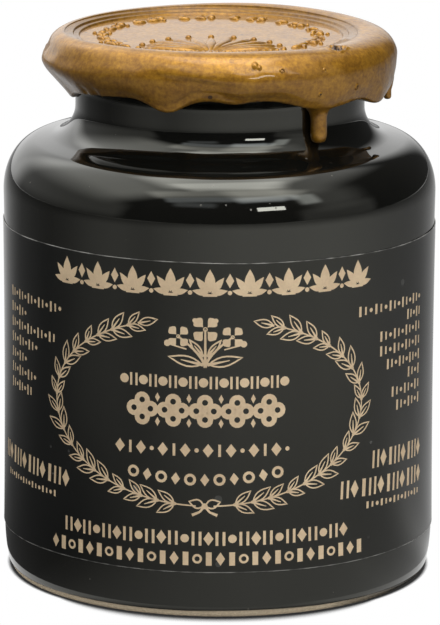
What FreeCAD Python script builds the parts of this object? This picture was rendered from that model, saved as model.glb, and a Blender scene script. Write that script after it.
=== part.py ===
import FreeCAD, Part
import math
import os

# A shut mustard jar: black glazed stoneware, a wrapped paper label, and a mouth dipped in
# gold-bronze sealing wax with a seal pressed into its top. Millimetres. The origin is the middle
# of the foot, on the surface it stands on. +Z is up, and the label is read from -Y.
# Angles round the jar are in degrees from the front, and grow towards +X.

# Driving dimensions of the stoneware
BODY_R = 40.0
WAIST_R = 39.8
FOOT_R = 38.45
FOOT_RING_INNER_R = 32.0
FOOT_RECESS = 1.4
HEEL_TOP_Z = 9.3
SHOULDER_Z = 71.6
SHOULDER_WIDE = 6.85
SHOULDER_TALL = 9.48
SHOULDER_SLOPE = 10.8
NECK_R = 26.7
NECK_FILLET_R = 5.87
LIP_R = 29.1
LIP_BEAD_R = 3.5
LIP_BEAD_Z = 94.7
LIP_FILLET_R = 0.8
MOUTH_Z = 98.0

# Driving dimensions of the paper label
LABEL_THICK = 0.2
LABEL_BOTTOM_Z = 8.6
LABEL_TOP_Z = 65.9
LABEL_TOP_TILT = 0.33
LABEL_GAP = 16.0

# Driving dimensions of the wax cap
WAX_R = 32.63
WAX_WIDEST_Z = 96.3
CREST_R = 28.7
CREST_Z = 101.35
TOP_DISC_R = 18.0
TOP_DISC_Z = 100.7
HEM_R = 30.9
HEM_FRONT_Z = 93.3
HEM_SIDE_SAG = 2.94
INSIDE_NECK_R = 25.0
BOTTOM_DISC_Z = 93.0

# Slow waves round the wax: height, number of waves in one turn, angle of a high point
CREST_R_WAVES = [(0.44, 1, -109.5)]
CREST_Z_WAVES = [(0.17, 1, 18.4), (0.31, 2, -16.3), (0.06, 5, 18.0)]
WAX_R_WAVES = [(0.08, 1, 90.0), (0.12, 3, 10.9), (0.06, 7, 12.9)]

# Control points of the wax's outline, as steps in radius and height from the crest, from the
# widest place and from the hem
TOP_RISE = (-4.5, 0.1)
CREST_STEPS = [(-1.9, -0.1), (0.0, 0.1)]
SIDE_STEPS = [(-0.75, 3.2), (0.05, 1.6), (0.1, 0.0)]
HEM_STEPS = [(0.25, 0.75), (-0.25, -0.15), (-1.1, 0.0)]
INNER_RISE = 0.6
BROW_DROP = 0.55
SKIRT_FULLNESS = 0.37

# On the left the wax sagged outwards: where, and what that adds to the brow and the side steps
SAG_ANGLE = -90.0
SAG_HALF_WIDTH = 62.0
BROW_SAG = -0.35
SIDE_SAGS = [(-0.46, 0.0), (-0.75, 0.0), (0.89, -0.47)]

# Where the dipped wax hangs lower: angle at the middle, half width in degrees, depth
HEM_LOBES = [
    (-18.25, 11.8, 2.63),
    (5.2, 7.9, 0.78),
    (37.6, 23.7, 2.2),
    (68.2, 14.6, 1.57),
    (118.0, 20.0, 1.2),
    (163.0, 15.0, 2.7),
    (-150.0, 19.0, 2.1),
    (-112.0, 13.0, 0.9),
    (-85.3, 16.1, 1.68),
]

# Where the skirt leans in to the neck or stands out from it: angle, half width, change of radius
HEM_LEANS = [
    (-84.0, 44.8, -3.07),
    (80.0, 30.6, 0.31),
    (170.0, 40.0, -0.8),
]

# Runs of wax below the hem: angle, radius of its middle line, top, bottom, half width
DRIPS = [
    (39.3, 28.15, 95.0, 84.2, 1.4),
    (92.0, 30.95, 93.0, 88.1, 0.78),
    (166.0, 28.6, 94.0, 87.6, 1.35),
]

# The side of a drip, from its top down, and the ways it starts and ends. Radii and the heights
# marked DRIP_END are in half widths, the other heights are shares of the drip's length.
DRIP_TOP_R = 1.9
DRIP_THROAT = (1.35, 0.8)
DRIP_WAIST = (0.92, 0.45)
DRIP_END = [(1.0, 1.4), (0.72, 0.35)]
DRIP_START_WAY = FreeCAD.Vector(-1, 0, -2)
DRIP_END_WAY = FreeCAD.Vector(-1, 0, 0)

# The seal: a round stamp pressed in off centre, with three fine steps up its wall
SEAL_SHIFT_X = -1.7
SEAL_FLOOR_Z = 99.9
SEAL_STEP_RADII = [24.2, 25.3, 26.86]
SEAL_STEP_RISE = 0.42
SEAL_STEP_DRAFT = 0.12

# A bubble that burst on the crest, right of the front
CRATER_ANGLE = 49.5
CRATER_FROM_AXIS = 27.4
CRATER_R = 1.5
CRATER_MIDDLE_Z = 101.65

WAX_COLUMNS = 72
SPLINE_DEGREE = 3

# How far the pieces that only cut others reach past them
CLEAR = 10.0


def rise(edge_a, edge_b):
    """A straight edge in the XZ plane between two (radius, height) points."""
    return Part.LineSegment(point(*edge_a), point(*edge_b)).toShape()


def bow(start, middle, end):
    """A circular arc in the XZ plane through three (radius, height) points."""
    return Part.Arc(point(*start), point(*middle), point(*end)).toShape()


def point(radius, height):
    return FreeCAD.Vector(radius, 0, height)


def oval_arc(centre, wide, tall, start_deg, end_deg):
    """Part of an upright ellipse in the XZ plane. 0 degrees points outwards, 90 points up."""
    centre_point = point(*centre)
    outward = point(centre[0] + wide, centre[1])
    upward = point(centre[0], centre[1] + tall)
    ellipse = Part.Ellipse(upward, outward, centre_point)
    ends = []
    for direction in (math.radians(start_deg), math.radians(end_deg)):
        across = wide * math.cos(direction)
        up = tall * math.sin(direction)
        ends.append(point(centre[0] + across, centre[1] + up))
    first, last = sorted(ellipse.parameter(end) for end in ends)
    if last - first > math.pi:
        first, last = last, first + 2 * math.pi
    return ellipse.toShape(first, last)


def turned(edges):
    """A solid of revolution about Z from a closed run of edges in the XZ plane."""
    wire = Part.Wire(Part.__sortEdges__(edges))
    face = Part.Face(wire)
    return face.revolve(FreeCAD.Vector(0, 0, 0), FreeCAD.Vector(0, 0, 1), 360)


def on_circle(centre, radius, direction):
    """The point of a circle that lies the given way (radians from outwards) from its centre."""
    return (centre[0] + radius * math.cos(direction), centre[1] + radius * math.sin(direction))


def wall_edge(low_z, high_z, extra=0.0):
    """The slightly waisted wall between heel and shoulder, or the same arc moved outwards."""
    mid_z = (HEEL_TOP_Z + SHOULDER_Z) / 2
    half = (SHOULDER_Z - HEEL_TOP_Z) / 2
    sag = BODY_R - WAIST_R

    def wall_radius(z):
        return WAIST_R + sag * ((z - mid_z) / half) ** 2 + extra

    middle_z = (low_z + high_z) / 2
    stops = [(wall_radius(z), z) for z in (low_z, middle_z, high_z)]
    return bow(*stops), stops


def make_jar():
    slope = math.radians(SHOULDER_SLOPE)

    foot = rise((0, FOOT_RECESS), (FOOT_RING_INNER_R - FOOT_RECESS, FOOT_RECESS))
    recess_corner = (FOOT_RING_INNER_R - FOOT_RECESS, 0)
    recess_wall = bow(
        (FOOT_RING_INNER_R - FOOT_RECESS, FOOT_RECESS),
        on_circle(recess_corner, FOOT_RECESS, math.pi / 4),
        (FOOT_RING_INNER_R, 0),
    )
    foot_ring = rise((FOOT_RING_INNER_R, 0), (FOOT_R, 0))
    heel = oval_arc((FOOT_R, HEEL_TOP_Z), BODY_R - FOOT_R, HEEL_TOP_Z, -90, 0)
    wall, wall_stops = wall_edge(HEEL_TOP_Z, SHOULDER_Z)

    # The shoulder is a quarter oval that stops where it has fallen to the neck's gentle slope.
    shoulder_centre = (BODY_R - SHOULDER_WIDE, SHOULDER_Z)
    end_angle = math.atan2(SHOULDER_TALL, SHOULDER_WIDE * math.tan(slope))
    shoulder = oval_arc(shoulder_centre, SHOULDER_WIDE, SHOULDER_TALL, 0, math.degrees(end_angle))
    shoulder_end = (
        shoulder_centre[0] + SHOULDER_WIDE * math.cos(end_angle),
        shoulder_centre[1] + SHOULDER_TALL * math.sin(end_angle),
    )

    # The fillet into the neck touches that slope and the upright neck.
    fillet_r = NECK_R + NECK_FILLET_R
    slope_z = shoulder_end[1] + (shoulder_end[0] - fillet_r) * math.tan(slope)
    fillet_centre = (fillet_r, slope_z + NECK_FILLET_R / math.cos(slope))
    on_slope = on_circle(fillet_centre, NECK_FILLET_R, -math.pi / 2 - slope)
    on_neck = on_circle(fillet_centre, NECK_FILLET_R, -math.pi)
    halfway = on_circle(fillet_centre, NECK_FILLET_R, -(3 * math.pi / 2 + slope) / 2)

    # The lip is a rolled bead, with a small fillet under it.
    bead_centre = (LIP_R - LIP_BEAD_R, LIP_BEAD_Z)
    reach = LIP_BEAD_R + LIP_FILLET_R
    across = NECK_R + LIP_FILLET_R - bead_centre[0]
    drop = math.sqrt(reach**2 - across**2)
    lip_fillet_centre = (NECK_R + LIP_FILLET_R, LIP_BEAD_Z - drop)
    towards_bead = math.atan2(drop, -across)
    under_lip = on_circle(lip_fillet_centre, LIP_FILLET_R, math.pi)
    on_bead = on_circle(lip_fillet_centre, LIP_FILLET_R, towards_bead)
    lip_fillet_mid = on_circle(lip_fillet_centre, LIP_FILLET_R, (math.pi + towards_bead) / 2)
    mouth_r = bead_centre[0] + math.sqrt(LIP_BEAD_R**2 - (MOUTH_Z - LIP_BEAD_Z) ** 2)

    return turned(
        [
            foot,
            recess_wall,
            foot_ring,
            heel,
            wall,
            shoulder,
            rise(shoulder_end, on_slope),
            bow(on_slope, halfway, on_neck),
            rise(on_neck, under_lip),
            bow(under_lip, lip_fillet_mid, on_bead),
            bow(on_bead, (LIP_R, LIP_BEAD_Z), (mouth_r, MOUTH_Z)),
            rise((mouth_r, MOUTH_Z), (0, MOUTH_Z)),
            rise((0, MOUTH_Z), (0, FOOT_RECESS)),
        ]
    )


def angle_between(angle, middle):
    return abs((angle - middle + 180) % 360 - 180)


def swell(angle, middle, half_width):
    """A smooth hump: 1 at the middle, and 0 from the half width outwards."""
    away = angle_between(angle, middle)
    if away >= half_width:
        return 0.0
    return (1 + math.cos(math.pi * away / half_width)) / 2


def hem_height(angle):
    sag = HEM_SIDE_SAG * math.sin(math.radians(angle)) ** 4
    lobes = sum(depth * swell(angle, middle, half) for middle, half, depth in HEM_LOBES)
    return HEM_FRONT_Z - sag - lobes


def hem_radius(angle):
    return HEM_R + sum(change * swell(angle, middle, half) for middle, half, change in HEM_LEANS)


def waves(angle, parts):
    """The sum of slow waves round the jar, at one angle."""
    return sum(tall * math.cos(math.radians(count * (angle - high))) for tall, count, high in parts)


def wax_section(angle):
    """The wax's outline at one angle, as (radius, height), from the top disc to inside the neck."""
    crest_r = CREST_R + waves(angle, CREST_R_WAVES)
    crest_z = CREST_Z + waves(angle, CREST_Z_WAVES)
    widest = WAX_R + waves(angle, WAX_R_WAVES)
    hem_r = hem_radius(angle)
    hem_z = hem_height(angle)
    sag = swell(angle, SAG_ANGLE, SAG_HALF_WIDTH)

    outline = [(TOP_DISC_R, TOP_DISC_Z), (crest_r + TOP_RISE[0], TOP_DISC_Z + TOP_RISE[1])]
    outline += [(crest_r + out, crest_z + up) for out, up in CREST_STEPS]
    outline.append(((crest_r + widest) / 2 + BROW_SAG * sag, crest_z - BROW_DROP))
    for (out, up), (more_out, more_up) in zip(SIDE_STEPS, SIDE_SAGS):
        outline.append((widest + out + more_out * sag, WAX_WIDEST_Z + up + more_up * sag))
    outline.append(((widest + hem_r) / 2 + SKIRT_FULLNESS, (WAX_WIDEST_Z + hem_z) / 2))
    outline += [(hem_r + out, hem_z + up) for out, up in HEM_STEPS]
    outline += [(INSIDE_NECK_R, hem_z + INNER_RISE), (TOP_DISC_R, BOTTOM_DISC_Z)]
    return outline


def place(radius, height, angle):
    """The point at an angle round the jar."""
    turn = math.radians(angle)
    return FreeCAD.Vector(radius * math.sin(turn), -radius * math.cos(turn), height)


def make_wax_blank():
    """The dipped wax before it is stamped: one smooth surface round the mouth, closed by two discs."""
    step = 360 / WAX_COLUMNS
    poles = []
    for column in range(WAX_COLUMNS):
        angle = column * step
        poles.append([place(r, z, angle) for r, z in wax_section(angle)])
    rows = len(poles[0])
    spans = rows - SPLINE_DEGREE
    row_repeats = [SPLINE_DEGREE + 1] + [1] * (spans - 1) + [SPLINE_DEGREE + 1]

    skin = Part.BSplineSurface()
    skin.buildFromPolesMultsKnots(
        poles,
        [1] * (WAX_COLUMNS + 1),
        row_repeats,
        [float(k) for k in range(WAX_COLUMNS + 1)],
        [float(k) for k in range(spans + 1)],
        True,
        False,
        SPLINE_DEGREE,
        SPLINE_DEGREE,
    )
    discs = [Part.Face(Part.Wire(skin.vIso(v).toShape())) for v in (0.0, float(spans))]
    shell = Part.makeShell([skin.toShape()] + discs)
    shell.sewShape()
    blank = Part.makeSolid(shell)
    if blank.Volume < 0:
        blank.reverse()
    return blank


def make_drip(angle, from_axis, top_z, bottom_z, half_width):
    """A run of wax that hangs down the neck: round, thinner in the middle, with a full rounded end."""
    length = top_z - bottom_z
    side_points = [point(DRIP_TOP_R * half_width, top_z)]
    for radius, height_share in (DRIP_THROAT, DRIP_WAIST):
        side_points.append(point(radius * half_width, bottom_z + height_share * length))
    for radius, height in DRIP_END:
        side_points.append(point(radius * half_width, bottom_z + height * half_width))
    side_points.append(point(0, bottom_z))
    side = Part.BSplineCurve()
    side.interpolate(Points=side_points, InitialTangent=DRIP_START_WAY, FinalTangent=DRIP_END_WAY)
    axis = rise((0, bottom_z), (0, top_z))
    top = rise((0, top_z), (DRIP_TOP_R * half_width, top_z))
    drip = turned([axis, top, side.toShape()])
    drip.translate(place(from_axis, 0, angle))
    return drip


def make_seal_stamp():
    """What the stamp takes out of the wax: a shallow disc with a stepped wall."""
    edges = []
    last = (0, SEAL_FLOOR_Z)
    for number, radius in enumerate(SEAL_STEP_RADII):
        base_z = SEAL_FLOOR_Z + number * SEAL_STEP_RISE
        foot = (radius, base_z)
        head = (radius + SEAL_STEP_DRAFT, base_z + SEAL_STEP_RISE)
        edges += [rise(last, foot), rise(foot, head)]
        last = head
    clear_z = CREST_Z + CLEAR
    edges += [rise(last, (last[0], clear_z)), rise((last[0], clear_z), (0, clear_z))]
    edges.append(rise((0, clear_z), (0, SEAL_FLOOR_Z)))
    stamp = turned(edges)
    stamp.translate(FreeCAD.Vector(SEAL_SHIFT_X, 0, 0))
    return stamp


def make_crater():
    ball = Part.makeSphere(CRATER_R)
    ball.translate(place(CRATER_FROM_AXIS, CRATER_MIDDLE_Z, CRATER_ANGLE))
    return ball


def make_wax_cap(jar):
    cap = make_wax_blank()
    for drip in DRIPS:
        cap = cap.fuse(make_drip(*drip))
    for taken in (make_seal_stamp(), make_crater(), jar):
        cap = cap.cut(taken)
    return cap


def make_label():
    """Paper wrapped round the wall, open in a narrow gap at the back, with a slightly sloping top."""
    slope_rise = BODY_R * math.tan(math.radians(LABEL_TOP_TILT))
    uncut_top_z = LABEL_TOP_Z + 2 * slope_rise
    inner, inner_stops = wall_edge(LABEL_BOTTOM_Z, uncut_top_z)
    outer, outer_stops = wall_edge(LABEL_BOTTOM_Z, uncut_top_z, LABEL_THICK)
    bottom = rise(inner_stops[0], outer_stops[0])
    top = rise(inner_stops[2], outer_stops[2])
    section = Part.Face(Part.Wire(Part.__sortEdges__([inner, outer, bottom, top])))
    section.rotate(FreeCAD.Vector(0, 0, 0), FreeCAD.Vector(0, 0, 1), 90 + LABEL_GAP / 2)
    wrap = section.revolve(FreeCAD.Vector(0, 0, 0), FreeCAD.Vector(0, 0, 1), 360 - LABEL_GAP)

    reach = BODY_R + CLEAR
    offcut = Part.makeBox(2 * reach, 2 * reach, CLEAR, FreeCAD.Vector(-reach, -reach, LABEL_TOP_Z))
    offcut.rotate(FreeCAD.Vector(0, 0, LABEL_TOP_Z), FreeCAD.Vector(0, 1, 0), LABEL_TOP_TILT)
    return wrap.cut(offcut)


os.makedirs("parts", exist_ok=True)
jar = make_jar()
nodes = {"jar": jar, "wax_cap": make_wax_cap(jar), "label": make_label()}
for name, shape in nodes.items():
    print(name, "solids", len(shape.Solids), "valid", shape.isValid(), "cm3", round(shape.Volume / 1000, 2))
    shape.Solids[0].exportStep(os.path.join("parts", name + ".step"))
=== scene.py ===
# %% [markdown]
# # Dressing a shut mustard jar
# The object is a small stoneware crock with a shiny black glaze. A black paper label printed in dull gold
# is wrapped round it, and its mouth was dipped in gold-bronze sealing wax and stamped with a seal. The
# solids already have the right size and form. Here each piece gets a finer mesh of its own and a finish
# made of shader nodes. Blender works in metres, and the jar stands on z = 0 with its label facing -Y.

# %% Load the solids
import math

import bmesh
import bpy
import numpy as np
from mathutils import Matrix, Vector


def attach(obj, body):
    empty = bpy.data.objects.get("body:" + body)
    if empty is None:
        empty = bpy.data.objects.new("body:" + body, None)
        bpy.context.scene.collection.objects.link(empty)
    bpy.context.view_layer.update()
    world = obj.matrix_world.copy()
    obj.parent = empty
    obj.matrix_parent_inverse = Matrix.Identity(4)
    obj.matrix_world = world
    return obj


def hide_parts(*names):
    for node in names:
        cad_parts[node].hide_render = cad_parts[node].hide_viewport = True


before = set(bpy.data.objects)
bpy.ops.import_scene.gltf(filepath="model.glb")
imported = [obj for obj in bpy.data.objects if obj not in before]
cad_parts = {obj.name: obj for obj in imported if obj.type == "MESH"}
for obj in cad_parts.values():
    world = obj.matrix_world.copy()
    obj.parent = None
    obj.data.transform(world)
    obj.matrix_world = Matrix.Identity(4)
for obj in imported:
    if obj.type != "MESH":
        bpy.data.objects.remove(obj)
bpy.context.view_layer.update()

# %% [markdown]
# ## Working in millimetres
# Sizes stay in millimetres, as a potter or a label printer would give them, and become metres only when a
# mesh is made. Angles round the jar are in degrees from the front and grow towards +X.
# `lattice_faces` serves most of the meshes. It joins neighbours in rows of points with four-sided faces,
# which is how a thrown pot, a wrapped label and a dipped skin of wax can all be drawn.

# %% Helpers for meshes
MM = 0.001


def sin_of(degrees):
    return math.sin(math.radians(degrees))


def cos_of(degrees):
    return math.cos(math.radians(degrees))


def place(radius, height, angle):
    """Millimetre points at angles round the jar, for single numbers or whole arrays."""
    turn = np.radians(angle)
    return np.stack(np.broadcast_arrays(radius * np.sin(turn), -radius * np.cos(turn), height), axis=-1)


def ramp(value, start, end):
    """0 before start, 1 after end, and a smooth rise between them."""
    share = np.clip((value - start) / (end - start), 0.0, 1.0)
    return share * share * (3 - 2 * share)


def swell(angle, middle, half_width):
    """A smooth hump round the jar: 1 at the middle, 0 from the half width outwards."""
    away = np.abs((angle - middle + 180) % 360 - 180)
    return np.where(away < half_width, (1 + np.cos(np.pi * np.minimum(away / half_width, 1))) / 2, 0.0)


def add_object(name, data):
    made = bpy.data.objects.new(name, data)
    bpy.context.scene.collection.objects.link(made)
    return made


def piece_from(name, points_mm, faces):
    """A smooth mesh object from millimetre points and faces."""
    mesh = bpy.data.meshes.new(name)
    mesh.from_pydata((np.asarray(points_mm) * MM).tolist(), [], faces)
    mesh.update()
    mesh.shade_smooth()
    return add_object(name, mesh)


def points_of(mesh):
    """The mesh's points, one row each, in metres."""
    flat = np.empty(len(mesh.vertices) * 3)
    mesh.vertices.foreach_get("co", flat)
    return flat.reshape(-1, 3)


def lattice_faces(rows, columns, closed_round=True, closed_over=False, first=0):
    """Four-sided faces between neighbouring points of a grid whose points run along each row."""
    faces = []
    for row in range(rows if closed_over else rows - 1):
        here = first + row * columns
        above = first + (row + 1) % rows * columns
        for column in range(columns if closed_round else columns - 1):
            beside = (column + 1) % columns
            faces.append((here + column, here + beside, above + beside, above + column))
    return faces


def cap(first, columns, flip=False):
    """One many-sided face over a whole row of points."""
    ring = range(first, first + columns)
    return tuple(reversed(ring) if flip else ring)


def mark(piece, name, values):
    """Stores one number for each point, which a material can read by name."""
    layer = piece.data.attributes.new(name, "FLOAT", "POINT")
    layer.data.foreach_set("value", np.asarray(values, dtype=np.float32).ravel())


def finish_piece(piece, material, slot_name, *replaced):
    """Gives a piece its finish, lets it ride on the jar's one body, and hides the solids it stands for."""
    piece.data.materials.append(material)
    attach(piece, "root")
    if replaced:
        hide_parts(*replaced)
    print(piece.name, "has", len(piece.data.polygons), "faces")


# %% [markdown]
# ## Helpers for materials
# A material is a small network of nodes. `node` makes one with its settings, and takes for each input a
# fixed value or the output of another node. The rest are short names for the nodes used most.

# %% Helpers for nodes
MIX_A, MIX_B, MIX_RESULT = 6, 7, 2


def node(tree, kind, inputs=None, **settings):
    made = tree.nodes.new(kind)
    for key, value in settings.items():
        setattr(made, key, value)
    for key, value in (inputs or {}).items():
        if isinstance(value, bpy.types.NodeSocket):
            tree.links.new(value, made.inputs[key])
        else:
            made.inputs[key].default_value = value
    return made


def calculate(tree, operation, *values):
    return node(tree, "ShaderNodeMath", dict(enumerate(values)), operation=operation).outputs[0]


def map_range(tree, value, low, high, start=0.0, end=1.0, **settings):
    """Turns start to end into low to high."""
    inputs = {"Value": value, "From Min": start, "From Max": end, "To Min": low, "To Max": high}
    return node(tree, "ShaderNodeMapRange", inputs, **settings).outputs["Result"]


def blend_colours(tree, mask, *colours):
    """Mixes two colours by a mask. Each is a plain colour or another node's output."""
    a, b = (c if isinstance(c, bpy.types.NodeSocket) else (*c, 1.0) for c in colours)
    mixed = node(tree, "ShaderNodeMix", {"Factor": mask, MIX_A: a, MIX_B: b}, data_type="RGBA")
    return mixed.outputs[MIX_RESULT]


def mix_shaders(tree, share, first, second):
    inputs = {0: share, 1: first.outputs[0], 2: second.outputs[0]}
    return node(tree, "ShaderNodeMixShader", inputs)


def marked(tree, name):
    return node(tree, "ShaderNodeAttribute", attribute_name=name).outputs["Fac"]


def new_material(name):
    """An empty material, and the tree to build in."""
    material = bpy.data.materials.new(name)
    material.use_nodes = True
    material.node_tree.nodes.clear()
    return material, material.node_tree


def show(tree, shader, output="ShaderNodeOutputMaterial"):
    """Makes a shader the material's result."""
    node(tree, output, {"Surface": shader.outputs[0]})


def show_surface(tree, inputs, height=None, strength=0.0, depth=0.0):
    """Ends a material in one Principled shader, with a bump from a height where there is one."""
    if height is not None:
        bump = node(tree, "ShaderNodeBump", {"Strength": strength, "Distance": depth, "Height": height})
        inputs["Normal"] = bump.outputs["Normal"]
    show(tree, node(tree, "ShaderNodeBsdfPrincipled", inputs))


# %% [markdown]
# ## Patterns that several finishes share
# Three effects turn up on more than one material. `dust specks` are the odd bright grains that lie on any
# dark shiny surface. `slow clouds` is the gentle unevenness of fired glaze, ink and wax. `fine grain` is a
# tight speckle, for clay, paper fibre and bronze powder. Each is built once as a node group with named
# inputs, and each material then sets its own scale and strength.

# %% Build the shared node groups
def pattern_group(name, **inputs):
    """A node group that takes a position and some named numbers, and gives one value."""
    group = bpy.data.node_groups.new(name, "ShaderNodeTree")
    group.interface.new_socket("Position", in_out="INPUT", socket_type="NodeSocketVector")
    for label, value in inputs.items():
        socket = group.interface.new_socket(label, in_out="INPUT", socket_type="NodeSocketFloat")
        socket.default_value = value
    group.interface.new_socket("Value", in_out="OUTPUT", socket_type="NodeSocketFloat")
    return group, node(group, "NodeGroupInput").outputs


def build_dust_specks():
    group, given = pattern_group("dust specks", Scale=400.0, Share=0.05, Size=0.25)
    where = {"Vector": given["Position"], "Scale": given["Scale"]}
    cells = node(group, "ShaderNodeTexVoronoi", where, feature="F1").outputs
    chance = node(group, "ShaderNodeSeparateColor", {"Color": cells["Color"]}).outputs
    chosen = calculate(group, "LESS_THAN", chance["Red"], given["Share"])
    grain_size = calculate(group, "MULTIPLY", chance["Green"], given["Size"])
    inside = calculate(group, "LESS_THAN", cells["Distance"], grain_size)
    dot = calculate(group, "MULTIPLY", chosen, inside)
    node(group, "NodeGroupOutput", {"Value": calculate(group, "MULTIPLY", dot, chance["Blue"])})
    return group


def build_noise(name, scale, detail, roughness, start, interpolation):
    """Noise whose middle band, from start up to as far below 1, is stretched from Low to High."""
    group, given = pattern_group(name, Scale=scale, Low=0.0, High=1.0)
    inputs = {"Vector": given["Position"], "Scale": given["Scale"], "Detail": detail, "Roughness": roughness}
    noise = node(group, "ShaderNodeTexNoise", inputs).outputs["Fac"]
    ends = (given["Low"], given["High"], start, 1 - start)
    stretched = map_range(group, noise, *ends, interpolation_type=interpolation)
    node(group, "NodeGroupOutput", {"Value": stretched})
    return group


DUST_SPECKS = build_dust_specks()
SLOW_CLOUDS = build_noise("slow clouds", 60.0, 2.0, 0.5, 0.3, "SMOOTHSTEP")
FINE_GRAIN = build_noise("fine grain", 1500.0, 4.0, 0.7, 0.32, "LINEAR")


def pattern(tree, group, **values):
    """Places a shared pattern in a material, with its own numbers."""
    where = tree.nodes.get("where") or node(tree, "ShaderNodeTexCoord", name="where")
    inputs = {"Position": where.outputs["Object"], **values}
    return node(tree, "ShaderNodeGroup", inputs, node_tree=group).outputs["Value"]


print("shared patterns:", [g.name for g in bpy.data.node_groups])

# %% [markdown]
# ## The stoneware
# The real jar is turned on a wheel, dipped upside down in glaze and fired. The foot is wiped clean first, so
# that it doesn't stick to the kiln shelf, and a thin ring of pale clay stays bare. The profile repeats the
# solid's own dimensions. It is spun in code, because the rows are wanted closest together where the glaze
# ends.

# %% Draw the profile of the stoneware
HEEL_R, HEEL_TOP = 38.45, 9.3
WALL_TOP = 71.6
SHOULDER_R = 33.15
SHOULDER_WIDE, SHOULDER_TALL = 6.85, 9.48
SLOPE = 10.8
FILLET_R, FILLET_MIDDLE_R = 5.87, 32.57
NECK_R = 26.7
LIP_MIDDLE, LIP_R = (25.6, 94.7), 3.5
RECESS, RECESS_R = 1.4, 30.6


def curve_points(centre, wide, tall, start, end, count):
    """Points of an upright oval's arc. 0 degrees points outwards, 90 points up."""
    angles = np.radians(np.linspace(start, end, count))
    return np.stack([centre[0] + wide * np.cos(angles), centre[1] + tall * np.sin(angles)], axis=1)


def wall_radius(height):
    """The wall draws in by a fifth of a millimetre at its middle."""
    return 39.8 + 0.2 * ((height - 40.45) / 31.15) ** 2


wall_heights = np.linspace(HEEL_TOP, WALL_TOP, 70)
wall = np.stack([wall_radius(wall_heights), wall_heights], axis=1)
steep = math.tan(math.radians(SLOPE))
shoulder_stop = math.degrees(math.atan2(SHOULDER_TALL, SHOULDER_WIDE * steep))
shoulder = curve_points((SHOULDER_R, WALL_TOP), SHOULDER_WIDE, SHOULDER_TALL, 0, shoulder_stop, 30)
fillet_z = shoulder[-1][1] + (shoulder[-1][0] - FILLET_MIDDLE_R) * steep
fillet_z += FILLET_R / cos_of(SLOPE)
fillet = curve_points((FILLET_MIDDLE_R, fillet_z), FILLET_R, FILLET_R, 270 - SLOPE, 180, 22)
profile = np.concatenate(
    [
        np.linspace((2.0, RECESS), (RECESS_R, RECESS), 8),
        curve_points((RECESS_R, 0.0), RECESS, RECESS, 90, 0, 8),
        np.linspace((32.2, 0.0), (38.2, 0.0), 10),
        curve_points((HEEL_R, HEEL_TOP), 1.55, HEEL_TOP, -90, 0, 46),
        wall[1:],
        shoulder[1:],
        np.linspace(shoulder[-1], fillet[0], 4)[1:],
        fillet[1:],
        np.linspace((NECK_R, fillet[-1][1]), (NECK_R, 91.2), 6)[1:],
        curve_points(LIP_MIDDLE, LIP_R, LIP_R, -60, 70.5, 14),
        np.linspace((26.0, 98.0), (2.0, 98.0), 6),
    ]
)
print("stoneware profile:", len(profile), "points, widest", round(profile[:, 0].max(), 2), "mm")

# %% [markdown]
# The bare ring isn't even. The glaze stops about a millimetre up, wanders a little, and on the right it has
# run down over the clay. `bare_clay` marks the points that have no glaze, and those points are also drawn in
# by the glaze's own thickness, so that its rolled edge catches the light. Hand work also leaves the wall very
# slightly uneven, and that is what bends the reflections in it.

# %% Spin the stoneware
GLAZE_THICK = 0.16
GLAZE_EDGE = 1.15
POT_COLUMNS = 300
pot_angles = np.arange(POT_COLUMNS) * 360 / POT_COLUMNS
height = profile[:, 1:]
turns = np.radians(pot_angles)[None, :]
glaze_edge = GLAZE_EDGE + 0.07 * np.sin(3 * turns + 1) + 0.05 * np.sin(8 * turns + 0.5)
bare = 1 - ramp(height, glaze_edge - 0.05, glaze_edge + 0.12)
ran_over = swell(pot_angles, 62, 30)[None, :] ** 0.35
wave = 0.035 * np.sin(3 * turns + height / 9) + 0.02 * np.sin(5 * turns - height / 6 + 2)
wave = wave * ramp(height, 9, 16) * (1 - ramp(height, 66, 74))
radius = profile[:, :1] - GLAZE_THICK * bare - np.abs(wave) * 0.6
pot_points = place(radius, height, pot_angles[None, :]).reshape(-1, 3)
faces = lattice_faces(len(profile), POT_COLUMNS)
faces += [cap(0, POT_COLUMNS, flip=True), cap((len(profile) - 1) * POT_COLUMNS, POT_COLUMNS)]
stoneware = piece_from("stoneware", pot_points, faces)
mark(stoneware, "bare_clay", bare * (1 - 0.93 * ran_over))

# %% [markdown]
# ## Black glaze and bare clay
# The glaze is glass, stained nearly black. Its look comes from sharp reflections, so its roughness is close
# to nothing. What makes it real is small: a soft unevenness of the surface, and dust that settles on it. Bare
# clay is the opposite, matt and pale and sandy. One material carries both and changes from one to the other
# by `bare_clay`.

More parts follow.
